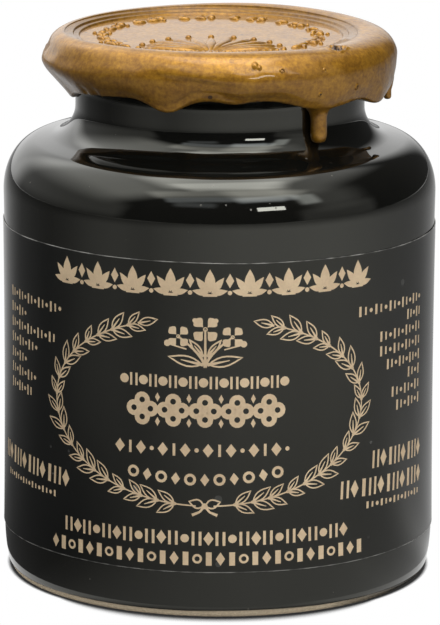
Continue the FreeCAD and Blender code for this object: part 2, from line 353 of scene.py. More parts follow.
# %% Black glaze material
def make_black_glaze():
    material, tree = new_material("black glaze")
    bare_clay = marked(tree, "bare_clay")
    specks = pattern(tree, DUST_SPECKS, Scale=900.0, Share=0.06, Size=0.2)
    lint = pattern(tree, DUST_SPECKS, Scale=260.0, Share=0.04, Size=0.05)
    dust = calculate(tree, "MAXIMUM", specks, lint)
    clouds = pattern(tree, SLOW_CLOUDS, Scale=55.0)
    grit = pattern(tree, FINE_GRAIN, Scale=2600.0)

    glass = blend_colours(tree, clouds, (0.0030, 0.0031, 0.0026), (0.0046, 0.0045, 0.0038))
    dusty = blend_colours(tree, dust, glass, (0.16, 0.15, 0.13))
    clay = blend_colours(tree, grit, (0.50, 0.40, 0.27), (0.72, 0.60, 0.43))
    rough = calculate(tree, "MULTIPLY_ADD", dust, 0.5, map_range(tree, bare_clay, 0.035, 0.8))
    sand = calculate(tree, "MULTIPLY", grit, bare_clay)
    relief = calculate(tree, "MULTIPLY_ADD", sand, 6.0, pattern(tree, SLOW_CLOUDS, Scale=170.0))
    colour = blend_colours(tree, bare_clay, dusty, clay)
    glaze = {"Base Color": colour, "Roughness": rough, "IOR": 1.6, "Specular Tint": (1.0, 1.0, 0.89, 1.0)}
    show_surface(tree, glaze, relief, 0.3, 0.000012)
    return material


finish_piece(stoneware, make_black_glaze(), "black_glaze", "jar")

# %% [markdown]
# ## The paper label
# The label is one strip of black coated paper that goes nearly all the way round and leaves a narrow gap at
# the back. It is a closed thin body: an outer face, an inner face, and cut edges between them. The rows
# crowd together at the two long edges, where the paper has lifted a hair and its grey core shows. The upper
# edge slopes by a third of a degree, and the scissors wandered a little.

# %% Wrap the label
PAPER_FACE, PAPER_BACK = 0.165, 0.02
LABEL_LOW, LABEL_HIGH, LABEL_TALL = 8.65, 65.86, 57.2
LABEL_SLOPE = 0.33
LABEL_ENDS = 171.9
EDGE_ROWS = [0.0, 0.05, 0.11, 0.2, 0.4, 0.8]

label_angles = np.linspace(-LABEL_ENDS, LABEL_ENDS, 430)
across = 40.2 * np.sin(np.radians(label_angles))
low = LABEL_LOW + 0.04 * (1 + np.sin(np.radians(label_angles * 7 + 40)))
top = LABEL_HIGH - across * math.tan(math.radians(LABEL_SLOPE))
top = top - 0.03 * (1 + np.sin(np.radians(label_angles * 9)))
up = [low + step for step in EDGE_ROWS]
up += [low + (top - low) * step / LABEL_TALL for step in np.linspace(0.8, 56.4, 50)[1:-1]]
up += [top - step for step in reversed(EDGE_ROWS)]
heights = np.array(up)
from_edge = np.minimum(heights - low, top - heights)
lifted = 0.03 * (1 - ramp(from_edge, 0.0, 0.5)) * (0.5 + 0.5 * np.sin(np.radians(label_angles * 23)) ** 3)
outer = place(wall_radius(heights) + PAPER_FACE + lifted, heights, label_angles[None, :])
inner = place(wall_radius(heights[::-1]) + PAPER_BACK, heights[::-1], label_angles[None, :])
label_rows = np.concatenate([outer, inner])
rows, columns = label_rows.shape[:2]
faces = lattice_faces(rows, columns, closed_round=False, closed_over=True)
faces += [tuple(range(0, rows * columns, columns)), tuple(range(rows * columns - 1, 0, -columns))]
paper_label = piece_from("paper_label", label_rows.reshape(-1, 3), faces)
# Nearness to the cut edges, for the grey core and the painted glints there.
edge_wear_and_glint = 1 - ramp(from_edge, 0.02, 0.16)
mark(paper_label, "cut_edge", np.concatenate([edge_wear_and_glint, 0 * edge_wear_and_glint]))

# %% [markdown]
# Coated paper is less shiny than glaze but still mirrors the table. Its black ink is a touch bluer. Along the
# cut edges the coating has broken away in places and shows the grey core, and brighter patches there are
# painted glints of the lifted edge. That is what the pattern times `cut_edge` gives.

# %% Black paper material
def make_black_paper():
    material, tree = new_material("black coated paper")
    breaks_and_glints = pattern(tree, SLOW_CLOUDS, Scale=330.0, Low=0.12, High=0.9)
    frayed_and_glinting = calculate(tree, "MULTIPLY", breaks_and_glints, marked(tree, "cut_edge"))
    specks = pattern(tree, DUST_SPECKS, Scale=330.0, Share=0.045, Size=0.3)
    clouds = pattern(tree, SLOW_CLOUDS, Scale=40.0)

    ink = blend_colours(tree, clouds, (0.0040, 0.0046, 0.0048), (0.0056, 0.0062, 0.0064))
    dusty = blend_colours(tree, specks, ink, (0.10, 0.10, 0.095))
    # The grey core on the cut edges, with brighter patches that are painted highlight for glints.
    colour = blend_colours(tree, frayed_and_glinting, dusty, (0.50, 0.49, 0.46))
    rough = map_range(tree, frayed_and_glinting, 0.11, 0.6)
    paper = {"Base Color": colour, "Roughness": rough, "IOR": 1.48, "Specular Tint": (1.0, 0.98, 0.84, 1.0)}
    show_surface(tree, paper, pattern(tree, FINE_GRAIN, Scale=1700.0), 0.12, 0.000008)
    return material


finish_piece(paper_label, make_black_paper(), "black_paper", "label")

# %% [markdown]
# ## Gold print
# The printing is ornament only: a frieze of leaves, an oval laurel wreath, a sprig in flower and rows of
# plain marks. It is drawn flat first, as small many-sided shapes on a sheet whose x runs round the jar and
# whose y is the height, both in millimetres. Then the whole sheet is cut every millimetre and wrapped on the
# label, so that no shape spans the curve like a plank. Real shapes stay crisp at any distance.

# %% Shapes a printer draws with
PRINT_MIDDLE = -2.4
HANDS = (-1, 1)
print_shapes = []


def shape(points):
    print_shapes.append([(float(x), float(y)) for x, y in points])


def beside(x, y, distance, lean):
    """The point that lies off x, y in a direction. 0 degrees points up, growing to the right."""
    return x + distance * sin_of(lean), y + distance * cos_of(lean)


def circle(x, y, radius, count):
    turns = [k * math.tau / count for k in range(count)]
    return [(x + radius * math.cos(t), y + radius * math.sin(t)) for t in turns]


def turned_points(points, x, y, lean):
    """Points turned by an angle and moved to x, y."""
    c, s = cos_of(lean), sin_of(lean)
    return [(x + px * c + py * s, y - px * s + py * c) for px, py in points]


def leaf_points(length, width, count=7, full=0.45):
    """A pointed leaf that stands on its stalk at the origin, widest at the share `full` of its length."""
    power = math.log(0.5) / math.log(full)
    steps = [step / count for step in range(1, count)]
    right = [(width / 2 * math.sin(math.pi * t**power), length * t) for t in steps]
    return [(0, 0)] + right + [(0, length)] + [(-x, y) for x, y in reversed(right)]


def disc(x, y, radius, count=14):
    shape(circle(x, y, radius, count))


def leaf(x, y, length, width, lean, full=0.45):
    shape(turned_points(leaf_points(length, width, full=full), x, y, lean))


def lozenge(x, y, wide, tall, lean=0.0):
    corners = [(0, -tall / 2), (wide / 2, 0), (0, tall / 2), (-wide / 2, 0)]
    shape(turned_points(corners, x, y, lean))


def bar(x, y, wide, tall, lean=0.0):
    corners = [(a * wide / 2, b * tall / 2) for a, b in ((-1, -1), (1, -1), (1, 1), (-1, 1))]
    shape(turned_points(corners, x, y, lean))


def stroke(points, widths):
    """A pen line through points. The width may change along it."""
    points = np.asarray(points, dtype=float)
    widths = np.broadcast_to(widths, len(points))
    along = np.gradient(points, axis=0)
    along /= np.linalg.norm(along, axis=1)[:, None]
    side = np.stack([-along[:, 1], along[:, 0]], axis=1) * widths[:, None] / 2
    left, right = points + side, points - side
    for k in range(len(points) - 1):
        shape([right[k], right[k + 1], left[k + 1], left[k]])


def outline(points, width):
    """A closed pen line, drawn just inside a shape's edge with mitred corners."""
    points = np.asarray(points, dtype=float)
    middle = points.mean(axis=0)
    inside = []
    for before, here, after in zip(np.roll(points, 1, axis=0), points, np.roll(points, -1, axis=0)):
        normal = np.zeros(2)
        for a, b in ((before, here), (here, after)):
            normal += np.array([a[1] - b[1], b[0] - a[0]]) / max(np.hypot(*(b - a)), 1e-9)
        normal /= max(np.hypot(*normal), 0.35)
        if np.dot(normal, middle - here) < 0:
            normal = -normal
        inside.append(here + normal * width)
    for k in range(len(points)):
        beyond = (k + 1) % len(points)
        shape([points[k], points[beyond], inside[beyond], inside[k]])


def drawn_leaf(x, y, length, width, lean, line=0.24):
    """A laurel leaf drawn with a pen: outline, half a midrib, and a thick stalk."""
    outline(turned_points(leaf_points(length, width), x, y, lean), line)
    rib = turned_points([(0, 0), (0, length * 0.3), (0, length * 0.62)], x, y, lean)
    stroke(rib, [line * 2.1, line * 1.3, line * 0.5])


# %% [markdown]
# A laurel wreath is one drawing, a pair of leaves with a piece of stalk, repeated along two branches that
# start at a bow at the bottom and rise on both sides. The branch follows an oval, and each pair leans away
# from it a little.

# %% Draw the wreath and its bow
WREATH_MIDDLE_Z = 38.4
WREATH_WIDE, WREATH_TALL = 30.6, 17.3
LEAF_PITCH = 3.35


def wreath_point(turn, side):
    """A point of one branch. turn runs from -90 at the bow to 90 at the top."""
    return PRINT_MIDDLE + WREATH_WIDE * cos_of(turn) * side, WREATH_MIDDLE_Z + WREATH_TALL * sin_of(turn)


def draw_branch(side):
    fine = [wreath_point(turn, side) for turn in np.linspace(-87, 66, 150)]
    steps = np.hypot(*np.diff(np.array(fine), axis=0).T)
    reached = np.concatenate([[0], np.cumsum(steps)])
    for number in range(1, int(reached[-1] / LEAF_PITCH) + 1):
        k = min(int(np.searchsorted(reached, number * LEAF_PITCH)), len(fine) - 2)
        (x, y), (x2, y2) = fine[k], fine[k + 1]
        heading = math.degrees(math.atan2(x2 - x, y2 - y))
        size = 1.0 - 0.12 * math.cos(number * 1.7)
        for hand in HANDS:
            lean = heading + hand * (31 + 4 * math.sin(number * 2.3 + hand))
            drawn_leaf(x, y, 3.95 * size, 1.6 * size, lean)
        disc(x, y, 0.3, 8)
    (x, y), (x2, y2) = fine[-2], fine[-1]
    drawn_leaf(x2, y2, 4.0, 1.7, math.degrees(math.atan2(x2 - x, y2 - y)))
    stroke(fine[::2], 0.26)


for side in HANDS:
    draw_branch(side)
bow_x, bow_y = PRINT_MIDDLE, WREATH_MIDDLE_Z - WREATH_TALL
for hand in HANDS:
    outline(turned_points(leaf_points(3.1, 1.9), bow_x, bow_y, hand * 74), 0.3)
    ribbon = [(bow_x, bow_y), (bow_x + hand * 0.9, bow_y - 1.1), (bow_x + hand * 2.3, bow_y - 1.7)]
    stroke(ribbon, [0.5, 0.4, 0.55])
disc(bow_x, bow_y, 0.55)

# %% [markdown]
# Inside the wreath stands a sprig in flower above a heavy band of quatrefoils. The flowers have four petals,
# as the mustard plant's do.

# %% Draw the sprig and the heavy band
def blossom(x, y, size):
    for angle in (45.0, 135.0, 225.0, 315.0):
        leaf(*beside(x, y, 0.24 * size, angle), size * 0.98, size * 0.94, angle, full=0.62)
    outline(circle(x, y, 0.2 * size, 10), 0.2)


def quatrefoil(x, y, size):
    """Four thick loops round a lozenge."""
    for angle in (0, 90, 180, 270):
        outline(circle(*beside(x, y, 0.5 * size, angle), 0.47 * size, 14), 0.3 * size)
    lozenge(x, y, 0.62 * size, 0.62 * size)


x, y = PRINT_MIDDLE, 46.7
for reach, rise, size in ((0.0, 7.0, 2.2), (-4.9, 5.6, 1.85), (4.9, 5.6, 1.85)):
    stem = [(x + reach * t**1.6, y + rise * t) for t in np.linspace(0, 1, 8)]
    stroke(stem, np.linspace(0.55, 0.32, 8))
    blossom(x + reach, y + rise, size)
for hand in HANDS:
    drawn_leaf(x + hand * 0.4, y + 0.5, 6.6, 2.1, hand * 78, 0.3)
    drawn_leaf(x + hand * 0.3, y + 2.0, 4.2, 1.4, hand * 40, 0.3)
    stroke([(x + hand * 3.4, y + 3.3), (x + hand * 6.4, y + 4.1)], 0.26)
    disc(x + hand * 6.9, y + 4.3, 0.62, 10)
    disc(x + hand * 1.9, y + 8.6, 0.45, 10)

for number in range(5):
    middle = PRINT_MIDDLE - 11.6 + number * 5.8
    quatrefoil(middle, 38.65, 3.15)
    if number:
        lozenge(middle - 2.9, 40.9, 0.9, 1.7)
        lozenge(middle - 2.9, 36.4, 0.9, 1.7)

# %% [markdown]
# Everything else on the label is a row of small marks, as on a moulding: beads and reels, lozenges, and
# plain bars. One function lays a row between two points and repeats a short run of marks along it. A mark
# is a kind, its width as a share of the pitch, and its height as a share of the row's.

# %% Lay the rows of marks
def draw_mark(kind, x, y, wide, tall, lean):
    if kind == "bead":
        disc(x, y, min(wide, tall) / 2, 12)
    elif kind == "ring":
        outline(circle(x, y, wide / 2, 14), wide * 0.24)
    elif kind == "lozenge":
        lozenge(x, y, wide, tall, lean)
    elif kind == "bar":
        bar(x, y, wide, tall, lean)
    elif kind == "reel":
        for hand in HANDS:
            bar(x + hand * wide * 0.32, y, wide * 0.26, tall, lean)


def row_of(start, end, pitch, tall, marks, sag=0.0):
    """Repeats marks from start to end, hanging by `sag` in the middle."""
    (x1, y1), (x2, y2) = start, end
    total = max(1, round(math.hypot(x2 - x1, y2 - y1) / pitch))
    for number in range(total):
        t = (number + 0.5) / total
        x, y = x1 + (x2 - x1) * t, y1 + (y2 - y1) * t - sag * 4 * t * (1 - t)
        lean = -math.degrees(math.atan2(y2 - y1 - sag * 4 * (1 - 2 * t), x2 - x1))
        kind, share, high = marks[number % len(marks)]
        draw_mark(kind, x, y, pitch * share, tall * high, lean)


def frieze(middles, y):
    """The wide band at the top: sprays of five leaves with lozenges between them."""
    for x in middles:
        leaf(x, y + 0.5, 4.3, 1.9, 0)
        for hand in HANDS:
            leaf(x + hand * 0.25, y + 0.4, 3.7, 1.35, hand * 38)
            leaf(x + hand * 0.35, y + 0.3, 2.9, 1.15, hand * 78)
        bar(x, y + 0.05, 2.6, 0.5)
    for left, right in zip(middles[:-1], middles[1:]):
        lozenge((left + right) / 2, 62.6, 1.5, 2.7)
        disc((left + right) / 2, 60.4, 0.42, 10)


LOZENGE, REEL = ("lozenge", 0.95, 1.0), ("reel", 0.9, 1.0)
SMALL_MARKS = [("bar", 0.42, 1.0), ("bar", 0.34, 0.78), ("bead", 0.62, 0.8)]
LARGE_MARKS = [REEL, ("lozenge", 0.8, 1.0), ("bar", 0.36, 1.0)]
frieze(np.linspace(-30.1, 26.9, 9), 59.9)
row_of((-18.4, 43.9), (13.0, 43.9), 1.9, 2.3, [("bead", 0.92, 1.0), ("reel", 0.86, 1.0)])
row_of((-19.4, 31.4), (13.7, 31.4), 2.05, 2.5, [LOZENGE, ("bar", 0.24, 0.9), LOZENGE, ("bead", 0.4, 1.0)])
row_of((-17.0, 27.1), (12.2, 27.4), 2.65, 2.3, [("ring", 0.84, 1.0), ("lozenge", 0.62, 1.0)], sag=1.3)
foot_marks = [REEL, ("lozenge", 0.84, 1.0), REEL, ("bead", 0.72, 1.0)]
row_of((-30.8, 15.0), (25.3, 15.1), 2.2, 2.6, foot_marks)
foot_marks = [("lozenge", 0.8, 1.0), ("bar", 0.5, 1.0), ("ring", 0.86, 1.0), ("bar", 0.5, 1.0)]
row_of((-34.2, 11.2), (28.9, 11.4), 2.1, 2.5, foot_marks)
for number, length in enumerate([18.7, 7.5, 17.0, 11.5, 7.5, 11.0, 9.5]):
    level = 54.6 - 2.85 * number
    row_of((-50.2, level + 0.25), (-50.2 + length, level), 1.25, 1.9, SMALL_MARKS)
for number, length in enumerate([20.0, 6.0, 14.5, 14.5, 12.5, 5.5, 11.0, 9.5]):
    level = 55.0 - 2.72 * number
    row_of((47.0 - length, level), (47.0, level - 0.2), 1.3, 1.9, SMALL_MARKS)
row_of((-54.0, 24.3), (-29.5, 23.3), 2.3, 3.3, LARGE_MARKS)
row_of((-52.0, 20.2), (-33.0, 19.9), 1.2, 1.2, SMALL_MARKS)
row_of((31.0, 27.0), (47.8, 26.2), 2.2, 3.3, LARGE_MARKS)
row_of((23.4, 22.4), (48.0, 21.2), 2.3, 3.3, LARGE_MARKS)
row_of((29.3, 18.7), (47.1, 18.0), 1.3, 1.3, SMALL_MARKS)
print("shapes drawn:", len(print_shapes))

# %% [markdown]
# Cutting with `bisect_plane` splits every face that a line crosses. After that each point moves to its place
# on the wall, a hair above the paper.

# %% Cut the sheet and wrap it round the jar
PRINT_LIFT = 0.024
WRAP_R = 40.1


def wrap_print():
    sheet = bmesh.new()
    for points in print_shapes:
        sheet.faces.new([sheet.verts.new((x, y, 0.0)) for x, y in points])
    for at in np.arange(-55.0, 50.0, 1.0):
        everything = sheet.verts[:] + sheet.edges[:] + sheet.faces[:]
        cut = {"plane_co": (at, 0, 0), "plane_no": (1, 0, 0), "dist": 1e-6}
        bmesh.ops.bisect_plane(sheet, geom=everything, **cut)
    bmesh.ops.triangulate(sheet, faces=sheet.faces[:])
    for face in sheet.faces:
        if face.normal.z < 0:
            face.normal_flip()
    for vert in sheet.verts:
        turn = vert.co.x / WRAP_R
        r = wall_radius(vert.co.y) + PAPER_FACE + PRINT_LIFT
        vert.co = Vector((r * math.sin(turn), -r * math.cos(turn), vert.co.y)) * MM
    mesh = bpy.data.meshes.new("gold_print")
    sheet.to_mesh(mesh)
    sheet.free()
    return add_object("gold_print", mesh)


gold_print = wrap_print()

# %% [markdown]
# The gold is a dull bronze ink, closer to tan paint than to foil. It lies a little thin here and there.

# %% Dull gold ink material
def make_dull_gold():
    material, tree = new_material("dull gold ink")
    clouds = pattern(tree, SLOW_CLOUDS, Scale=160.0, High=0.6)
    thin = calculate(tree, "ADD", clouds, pattern(tree, FINE_GRAIN, Scale=2200.0, High=0.5))
    colour = blend_colours(tree, thin, (0.88, 0.68, 0.44), (0.70, 0.52, 0.33))
    rough = pattern(tree, SLOW_CLOUDS, Scale=300.0, Low=0.34, High=0.5)
    show_surface(tree, {"Base Color": colour, "Roughness": rough, "IOR": 1.45, "Metallic": 0.15})
    return material


finish_piece(gold_print, make_dull_gold(), "black_paper")

# %% [markdown]
# ## The sealing wax
# The neck of the jar is dipped in molten wax coloured with bronze powder. The wax thickens into a rounded
# rim, sags into lobes at its hem and runs down in drips. Here it is one skin, described by the outline that
# it has at each angle. A smooth spline surface is run over those outlines, the same way as in the solid, and
# sampled closely enough to carry small lumps. So it stays true to the solid, as a sculpted lump would not.

# %% Describe the wax by its outline
HEM_LOBES = [
    (-18.25, 11.8, 2.63),
    (5.2, 7.9, 0.78),
    (37.6, 23.7, 2.2),
    (68.2, 14.6, 1.57),
    (118.0, 20.0, 1.2),
    (163.0, 15.0, 2.7),
    (-150.0, 19.0, 2.1),
    (-112.0, 13.0, 0.9),
    (-85.3, 16.1, 1.68),
]
HEM_LEANS = [(-84.0, 44.8, -3.07), (80.0, 30.6, 0.31), (170.0, 40.0, -0.8)]
DRIPS = [
    (39.3, 28.15, 95.0, 84.2, 1.4),
    (92.0, 30.95, 93.0, 88.1, 0.78),
    (166.0, 28.6, 94.0, 87.6, 1.35),
]


def hem_height(angle):
    sag = 2.94 * np.sin(np.radians(angle)) ** 4
    return 93.3 - sag - sum(depth * swell(angle, middle, half) for middle, half, depth in HEM_LOBES)


def hem_radius(angle):
    return 30.9 + sum(change * swell(angle, middle, half) for middle, half, change in HEM_LEANS)


def waves(angle, *parts):
    """The sum of slow waves round the jar: each has a height, a number of waves and where it is high."""
    return sum(tall * cos_of(count * (angle - high)) for tall, count, high in parts)


def wax_outline(angle):
    """The wax's outline at one angle, as control points (radius, height) from the top to inside the neck."""
    crest_r = 28.7 + waves(angle, (0.44, 1, -109.5))
    crest_z = 101.35 + waves(angle, (0.17, 1, 18.4), (0.31, 2, -16.3), (0.06, 5, 18.0))
    widest = 32.63 + waves(angle, (0.08, 1, 90.0), (0.12, 3, 10.9), (0.06, 7, 12.9))
    hem_r, hem_z = float(hem_radius(angle)), float(hem_height(angle))
    sag = float(swell(angle, -90.0, 62.0))
    return [
        (18.0, 100.7),
        (crest_r - 4.5, 100.8),
        (crest_r - 1.9, crest_z - 0.1),
        (crest_r, crest_z + 0.1),
        ((crest_r + widest) / 2 - 0.35 * sag, crest_z - 0.55),
        (widest - 0.75 - 0.46 * sag, 99.5),
        (widest + 0.05 - 0.75 * sag, 97.9),
        (widest + 0.1 + 0.89 * sag, 96.3 - 0.47 * sag),
        ((widest + hem_r) / 2 + 0.37, (96.3 + hem_z) / 2),
        (hem_r + 0.25, hem_z + 0.75),
        (hem_r - 0.25, hem_z - 0.15),
        (hem_r - 1.1, hem_z),
        (25.0, hem_z + 0.6),
        (18.0, 93.0),
    ]


def clamped_weights(at, poles):
    """Weights of a smooth cubic spline that starts and ends on its first and last control points."""
    spans = poles - 3
    knots = np.concatenate([[0] * 3, np.arange(spans + 1), [spans] * 3]).astype(float)
    at = np.clip(np.asarray(at, dtype=float), 0, spans - 1e-9)[..., None]
    weights = ((at >= knots[:-1]) & (at < knots[1:])).astype(float)
    for degree in range(1, 4):
        low_gap = knots[degree:-1] - knots[: -degree - 1]
        high_gap = knots[degree + 1 :] - knots[1:-degree]
        rising = np.where(low_gap > 0, (at - knots[: -degree - 1]) / np.maximum(low_gap, 1e-9), 0)
        falling = np.where(high_gap > 0, (knots[degree + 1 :] - at) / np.maximum(high_gap, 1e-9), 0)
        weights = rising * weights[..., :-1] + falling * weights[..., 1:]
    return weights


OUTLINE_STEP = 5.0
outline_angles = np.arange(0, 360, OUTLINE_STEP)
outlines = np.array([wax_outline(a) for a in outline_angles])
POLES = outlines.shape[1]
control_net = place(outlines[:, :, 0], outlines[:, :, 1], outline_angles[:, None])


def net_at(angle):
    """The control points at any angle, from the four outlines nearest to it."""
    turns = angle / OUTLINE_STEP
    first = np.floor(turns).astype(int)
    f = (turns - first)[:, None, None]
    parts = [(1 - f) ** 3, 3 * f**3 - 6 * f**2 + 4, -3 * f**3 + 3 * f**2 + 3 * f + 1, f**3]
    return sum(part * control_net[(first + k - 1) % len(control_net)] for k, part in enumerate(parts)) / 6


print("wax:", len(outlines), "outlines of", POLES, "points")

# %% [markdown]
# The seal was pressed into the soft top, a little to one side. The skin starts at the rim of that pressing,
# which is a true circle, so the rows of the skin and the rings of the seal share their points. The seal's
# wall is three fine steps. Each step's corners have a second ring of points close by, which keeps them
# crisp under smooth shading.

# %% Make the skin and the seal's bed
SEAL_X = -1.7
SEAL_BED_Z = 99.9
SEAL_RIM = 26.98
SEAL_STEPS = [(24.2, 99.9), (24.32, 100.32), (25.3, 100.32), (25.42, 100.74), (26.86, 100.74)]
HEM_TURN, SKIN_END = 9.6, 11.0
WAX_COLUMNS = 540

wax_angles = np.arange(WAX_COLUMNS) * 360 / WAX_COLUMNS
nets = net_at(wax_angles)
probe = np.linspace(0, 5, 200)
top_run = np.einsum("vp,apc->avc", clamped_weights(probe, POLES), nets)
from_seal = np.hypot(top_run[:, :, 0] - SEAL_X, top_run[:, :, 1])
rim_at = np.array([np.interp(SEAL_RIM, run, probe) for run in from_seal])
skin_steps = np.concatenate([np.linspace(0, 1, 104), 1 + np.arange(1, 9) / 8])
steps = skin_steps[:, None]
under_hem = HEM_TURN + (SKIN_END - HEM_TURN) * (steps - 1)
along = np.where(steps <= 1, rim_at + (HEM_TURN - rim_at) * steps, under_hem)
skin = np.einsum("vap,apc->vac", clamped_weights(along, POLES), nets)

bed_profile = [(r, SEAL_BED_Z) for r in np.linspace(1.5, 23.9, 22)]
for number, (r, z) in enumerate(SEAL_STEPS):
    gaps = ((-0.07, 0.0), (0.018, 0.05)) if number % 2 == 0 else ((-0.018, -0.05), (0.07, 0.0))
    bed_profile += [(r + gap_r, z + gap_z) for gap_r, gap_z in gaps]
aim = np.arctan2(skin[0, :, 1], skin[0, :, 0] - SEAL_X)
bed = np.array([[(SEAL_X + r * math.cos(t), r * math.sin(t), z) for t in aim] for r, z in bed_profile])
near_rim = skin[0] - np.stack([0.02 * np.cos(aim), 0.02 * np.sin(aim), 0 * aim + 0.06], axis=1)
bed = np.concatenate([bed, near_rim[None]])
print("seal bed rings:", len(bed), "skin rows:", len(skin))

# %% [markdown]
# Dipped wax isn't as even as its outline. The skirt is hollow in one place, left of the front, it has two
# short creases near the hem there and two at the back, low lumps all over, and one big bubble burst on the
# rim as it set. Each is a small move of the skin's points, along its normals or, for the bubble, straight
# down.

# %% Give the skin its lumps, creases and burst bubble
CREASES = [(-53.5, 92.6, 0.22), (-46.7, 93.0, 0.2), (140, 94, 0.3), (-130, 93.5, 0.3)]
CRATER_ANGLE = 47.5
CRATER = place(28.5, 101.2, CRATER_ANGLE)
CRATER_DEEP = 1.4
WAX_TOP = 101.73


def skin_normals(points):
    """Outward normals of the skin, from its neighbours along and across."""
    across = np.roll(points, -1, axis=1) - np.roll(points, 1, axis=1)
    normals = np.cross(across, -np.gradient(points, axis=0))
    return normals / np.maximum(np.linalg.norm(normals, axis=2), 1e-9)[:, :, None]


def wander(points, length, seed):
    """Smooth, repeatable unevenness between -1 and 1, about as long as the given length."""
    k = math.tau / length
    x, y, z = points[..., 0], points[..., 1], points[..., 2]
    crossed = np.sin(k * x + 1.7 * seed) * np.sin(0.9 * k * y + 0.6 * seed)
    return (crossed + np.sin(k * (0.6 * x + 0.8 * y) + z * k + seed)) * 0.5


def from_crater(points):
    """How far points lie from the burst bubble, in its own radii, and in which direction."""
    offset = points - CRATER
    along_rim = offset @ place(1.0, 0.0, CRATER_ANGLE + 90)
    across_rim = offset @ place(1.0, 0.0, CRATER_ANGLE)
    return np.hypot(along_rim / 1.15, across_rim / 0.92), np.arctan2(across_rim, along_rim)


theta = (wax_angles[None, :] + 180) % 360 - 180
z = skin[:, :, 2]
outside = 1 - ramp(skin_steps, 0.93, 1.0)[:, None]
skirt = ramp(skin_steps, 0.25, 0.4)[:, None] * outside

hollow_top = 98.7 - 0.075 * (theta + 22)
hollow = swell(theta, -7.5, 19.5) ** 0.5 * ramp(hollow_top - z, -0.35, 0.9)
move = -0.42 * (hollow * ramp(z - hem_height(theta), 0.3, 1.6))
for crease_angle, crease_z, deep in CREASES:
    move = move - deep * swell(theta, crease_angle, 2.6) * np.exp(-((z - crease_z) ** 2)) * skirt
move = move + 0.07 * wander(skin, 9.0, 1) * skirt + 0.035 * wander(skin, 4.2, 3) * skirt
skin = skin + skin_normals(skin) * (move * outside)[:, :, None]

away, around = from_crater(skin)
away = away / (1 + 0.12 * np.sin(3 * around + 1) + 0.08 * np.sin(7 * around))
lip = 0.3 * np.exp(-(((away - 1.72) / 0.22) ** 2)) * (0.6 + 0.4 * np.sin(4 * around + 0.5))
pit = CRATER_DEEP * (1 - ramp(away, 1.15, 1.45))
on_top = (skin[:, :, 2] > 98.5) & (np.hypot(skin[..., 0], skin[..., 1]) > 26.3)
skin[:, :, 2] = np.minimum(skin[:, :, 2] + np.where(on_top, lip - pit, 0.0), WAX_TOP)

wax_grid = np.concatenate([bed, skin])
wax_points = wax_grid.reshape(-1, 3).tolist() + [[SEAL_X, 0.0, SEAL_BED_Z]]
centre = len(wax_points) - 1
faces = [tuple(reversed(f)) for f in lattice_faces(len(wax_grid), WAX_COLUMNS)]
faces += [(centre, c, (c + 1) % WAX_COLUMNS) for c in range(WAX_COLUMNS)]
faces.append(cap((len(wax_grid) - 1) * WAX_COLUMNS, WAX_COLUMNS, flip=True))
sealing_wax = piece_from("sealing_wax", wax_points, faces)
print("wax skin:", len(wax_points), "points")

# %% [markdown]
# ## Drips and blisters
# A drip is wax that ran on after the dip. It hangs from the hem, thins in the middle and ends in a round
# drop. It is turned like a tiny skittle, joined to the skin with a Boolean, and then only the points round
# the join are relaxed, which melts the hard line between the two into a fillet.

# %% Turn the drips and melt them into the hem
DRIP_ROWS, DRIP_SIDES = 46, 40
MELT_ROUNDS, MELT_STEP = 40, 0.6


def make_drip(angle, from_axis, top_z, bottom_z, half_width):
    hem = float(hem_height(angle))
    wide = float(ramp(half_width, 0.9, 1.3))
    side = [
        (0.0, top_z),
        (half_width * (1.7 + 0.6 * wide), top_z),
        (half_width * (1.7 + 0.6 * wide), hem + 0.8),
        (half_width * (1.25 + 0.4 * wide), hem - 0.1),
        (half_width, max(hem - 1.5, bottom_z + half_width * 2.2)),
        (half_width * 1.1, bottom_z + half_width * 1.6),
        (half_width * 1.06, bottom_z + half_width * 0.5),
        (half_width * 0.72, bottom_z),
        (0.0, bottom_z),
    ]
    rows = clamped_weights(np.linspace(0.05, 5.93, DRIP_ROWS), len(side)) @ np.array(side)
    turns = np.arange(DRIP_SIDES) * 360 / DRIP_SIDES
    points = place(rows[:, :1], rows[:, 1:], turns[None, :]) + place(from_axis, 0.0, angle)
    faces = [tuple(reversed(f)) for f in lattice_faces(DRIP_ROWS, DRIP_SIDES)]
    faces += [cap(0, DRIP_SIDES), cap((DRIP_ROWS - 1) * DRIP_SIDES, DRIP_SIDES, flip=True)]
    return piece_from("drip", points.reshape(-1, 3), faces)


def fuse(body, extra):
    """Joins two closed meshes into one skin."""
    joint = body.modifiers.new("fuse", "BOOLEAN")
    joint.operation = "UNION"
    joint.solver = "EXACT"
    joint.object = extra
    bpy.context.view_layer.update()
    fused = bpy.data.meshes.new_from_object(body.evaluated_get(bpy.context.evaluated_depsgraph_get()))
    body.modifiers.clear()
    body.data = fused
    bpy.data.objects.remove(extra)


def relax(mesh, weight):
    """Moves each point towards the middle of its neighbours, by its weight."""
    points = points_of(mesh)
    edges = np.empty(len(mesh.edges) * 2, dtype=int)
    mesh.edges.foreach_get("vertices", edges)
    edges = edges.reshape(-1, 2)
    a, b = edges[(weight[edges] > 0).any(axis=1)].T
    links = np.bincount(np.concatenate([a, b]), minlength=len(points))
    for _ in range(MELT_ROUNDS):
        total = np.zeros_like(points)
        np.add.at(total, a, points[b])
        np.add.at(total, b, points[a])
        middle = total / np.maximum(links, 1)[:, None]
        points = points + (middle - points) * (weight * MELT_STEP)[:, None]
    mesh.vertices.foreach_set("co", points.ravel())
    mesh.update()


